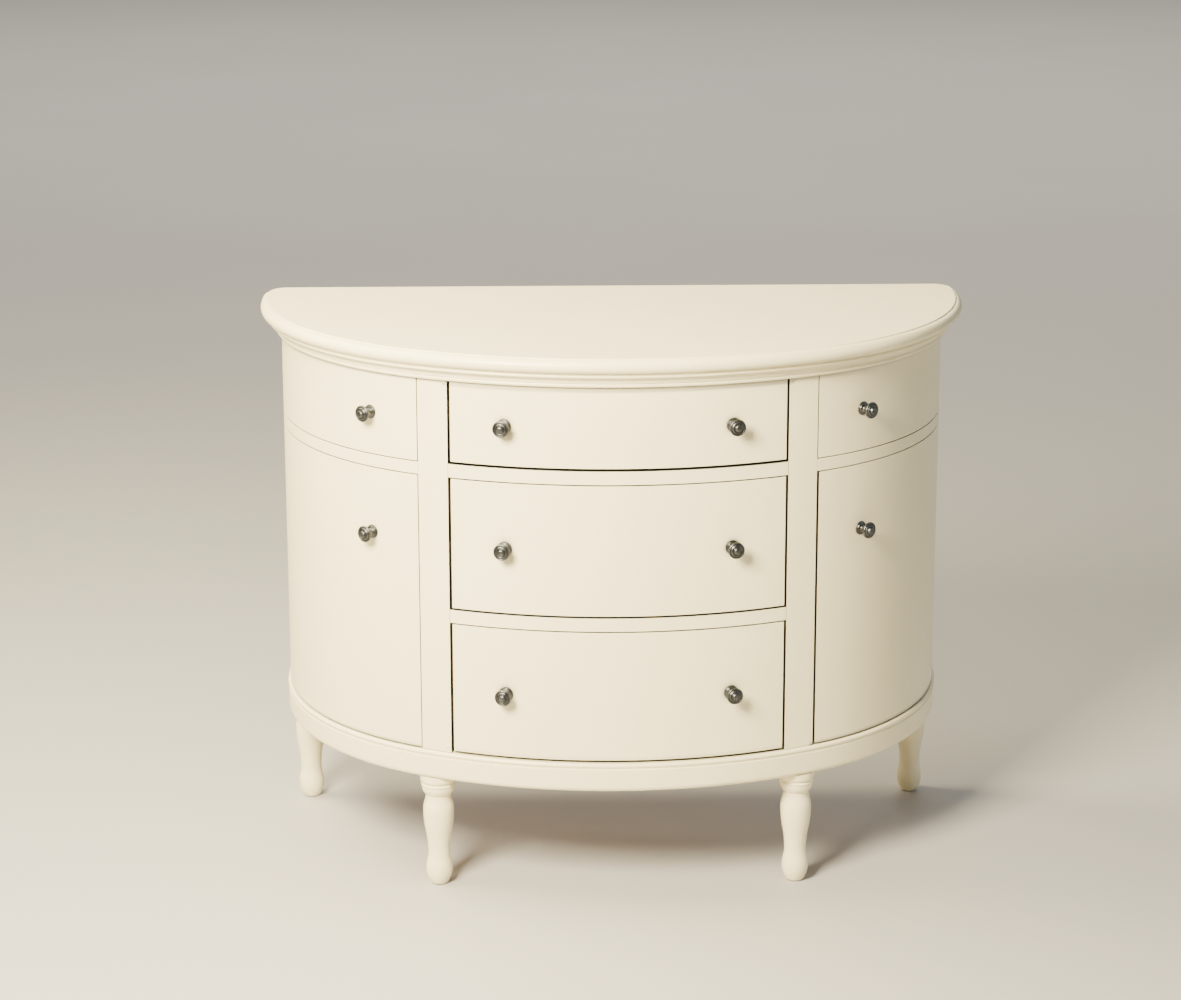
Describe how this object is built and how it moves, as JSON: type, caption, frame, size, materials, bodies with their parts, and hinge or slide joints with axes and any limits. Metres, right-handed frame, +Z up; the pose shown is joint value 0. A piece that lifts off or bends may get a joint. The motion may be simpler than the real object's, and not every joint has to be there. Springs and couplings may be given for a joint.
{
  "type": "half-moon sideboard",
  "caption": "Half-moon painted sideboard with a crown moulding, bow-fronted drawers, curved side drawers over curved doors, pewter knobs and turned legs.",
  "frame": {"origin": "on the floor, under the middle of the overall box", "axes": "+X to the right seen from the front, +Y towards the flat back, +Z up; the bow faces -Y"},
  "size_m": [1.188, 0.5589, 0.915],
  "materials": {
    "cream_paint": "satin paint, slightly rubbed at the edges",
    "raw_wood": "unfinished softwood and board",
    "drawer_wood": "clear sealed light wood",
    "back_board": "unfinished plywood",
    "pewter": "antique pewter, polished on the raised rings",
    "brass": "turned",
    "steel": "zinc plated",
    "catch_plastic": "moulded"
  },
  "bodies": {
    "cabinet": {"top_board": "cream_paint", "cornice": "cream_paint", "subtop_panel": "raw_wood", "base_band": "cream_paint", "base_panel": "raw_wood", "back_panel": "back_board", "lower_rail": "cream_paint", "upper_rail": "cream_paint", "drawer_runners": "raw_wood", "side_drawer_guides": "raw_wood", "shelf_cleats": "raw_wood", "door_pivot_pins": "steel", "door_catches": "catch_plastic", "leg_blocks": "raw_wood", "leg_bolts": "steel", "front_left_leg": "cream_paint", "front_right_leg": "cream_paint", "rear_left_leg": "cream_paint", "rear_right_leg": "cream_paint", "left_stile": "cream_paint", "left_rear_post": "cream_paint", "left_partition": "raw_wood", "left_deck": "cream_paint", "left_shelf": "raw_wood", "right_stile": "cream_paint", "right_rear_post": "cream_paint", "right_partition": "raw_wood", "right_deck": "cream_paint", "right_shelf": "raw_wood"},
    "top_drawer": {"top_drawer_front": "cream_paint", "top_drawer_box": "drawer_wood", "top_drawer_bottom": "drawer_wood", "top_drawer_knobs": "pewter"},
    "middle_drawer": {"middle_drawer_front": "cream_paint", "middle_drawer_box": "drawer_wood", "middle_drawer_bottom": "drawer_wood", "middle_drawer_knobs": "pewter"},
    "bottom_drawer": {"bottom_drawer_front": "cream_paint", "bottom_drawer_box": "drawer_wood", "bottom_drawer_bottom": "drawer_wood", "bottom_drawer_knobs": "pewter"},
    "left_drawer": {"left_drawer_front": "cream_paint", "left_drawer_box": "drawer_wood", "left_drawer_bottom": "drawer_wood", "left_drawer_knob": "pewter"},
    "right_drawer": {"right_drawer_front": "cream_paint", "right_drawer_box": "drawer_wood", "right_drawer_bottom": "drawer_wood", "right_drawer_knob": "pewter"},
    "left_door": {"left_door": "cream_paint", "left_door_knob": "pewter", "left_door_bushes": "brass", "left_door_strike": "steel"},
    "right_door": {"right_door": "cream_paint", "right_door_knob": "pewter", "right_door_bushes": "brass", "right_door_strike": "steel"}
  },
  "joints": [
    {"name": "top_drawer_slide", "type": "slide", "parent": "cabinet", "child": "top_drawer", "axis": [0, -1, 0], "range_m": [0, 0.3]},
    {"name": "middle_drawer_slide", "type": "slide", "parent": "cabinet", "child": "middle_drawer", "axis": [0, -1, 0], "range_m": [0, 0.3]},
    {"name": "bottom_drawer_slide", "type": "slide", "parent": "cabinet", "child": "bottom_drawer", "axis": [0, -1, 0], "range_m": [0, 0.3]},
    {"name": "left_drawer_slide", "type": "slide", "parent": "cabinet", "child": "left_drawer", "axis": [0, -1, 0], "range_m": [0, 0.18]},
    {"name": "right_drawer_slide", "type": "slide", "parent": "cabinet", "child": "right_drawer", "axis": [0, -1, 0], "range_m": [0, 0.18]},
    {"name": "left_door_hinge", "type": "hinge", "parent": "cabinet", "child": "left_door", "pos_m": [-0.54903, 0.19463, 0.2415], "axis": [0, 0, -1], "range_deg": [0, 90]},
    {"name": "right_door_hinge", "type": "hinge", "parent": "cabinet", "child": "right_door", "pos_m": [0.54903, 0.19463, 0.2415], "axis": [0, 0, 1], "range_deg": [0, 90]}
  ]
}
